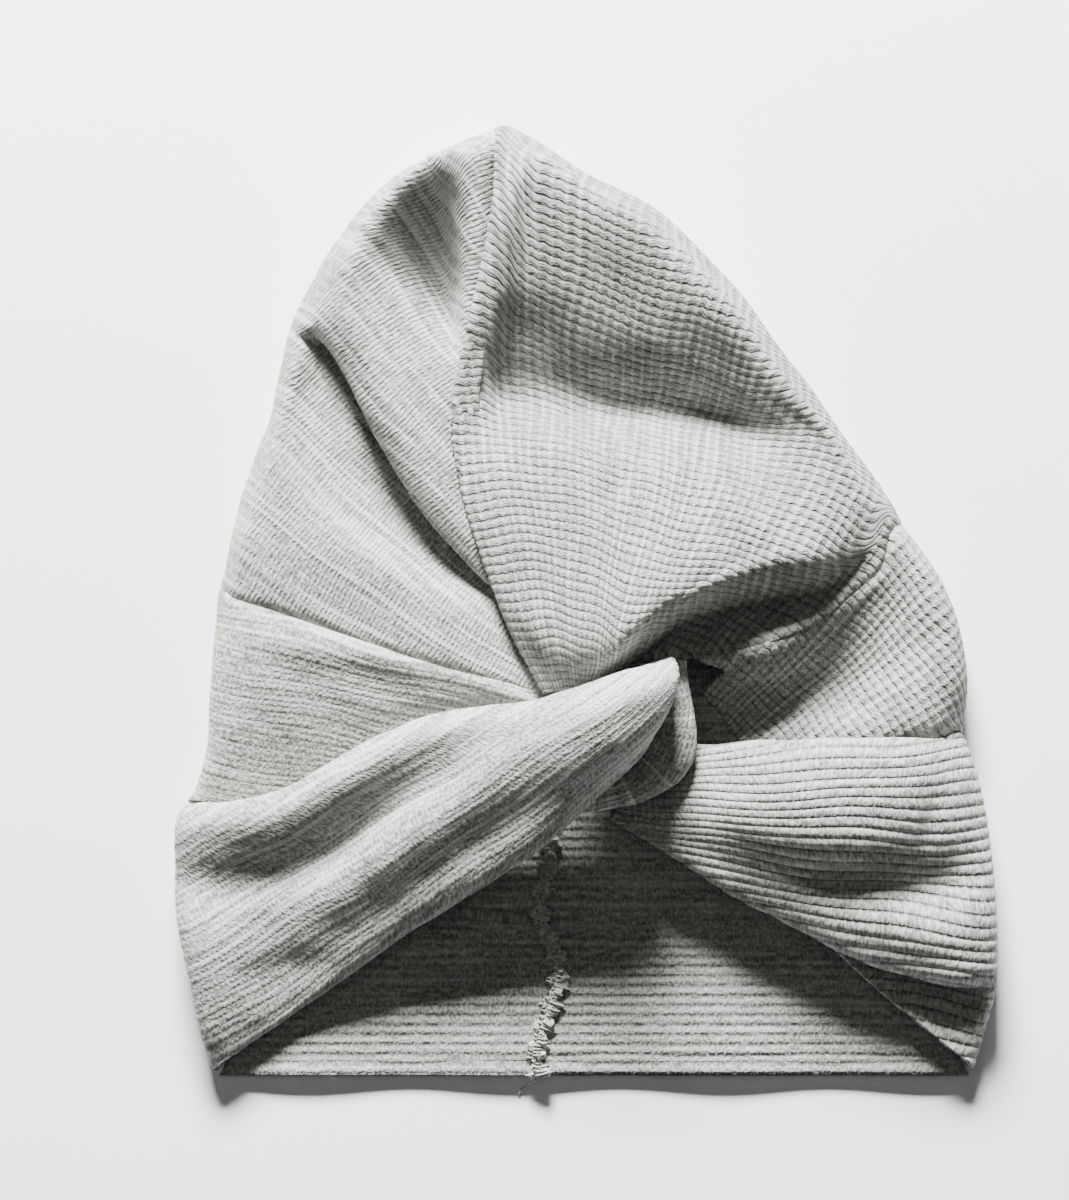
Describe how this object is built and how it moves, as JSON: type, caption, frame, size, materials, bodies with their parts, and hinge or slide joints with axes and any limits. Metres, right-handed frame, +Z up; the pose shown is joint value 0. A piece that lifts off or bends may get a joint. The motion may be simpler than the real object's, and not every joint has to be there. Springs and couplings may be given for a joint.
{
  "type": "turban headwrap",
  "caption": "Twist-front turban headwrap of ribbed melange knit, lying flat with its front up and its head opening at the hem.",
  "frame": {"origin": "middle of the bounding box's base, on the surface that the turban lies on", "axes": "+Y from the hem to the crown's tip, +Z up out of the front, +X to the right as the front is seen"},
  "size_m": [0.2609, 0.3015, 0.0541],
  "materials": {
    "knit_crown": "matte, ribbed melange knit, light warm grey",
    "knit_band": "matte, ribbed melange knit, light warm grey",
    "knit_back": "matte, plain side of the same knit",
    "overlock": "overlocked raw edge of the same knit"
  },
  "bodies": {
    "root": {"crown_right": "knit_crown", "crown_left": "knit_crown", "side_right": "knit_crown", "side_left": "knit_crown", "band_right": "knit_band", "band_left": "knit_band", "knot_wrap": "knit_band", "back_right": "knit_back", "back_left_yoke": "knit_back", "back_left_band": "knit_back", "back_seam": "overlock"}
  },
  "joints": []
}
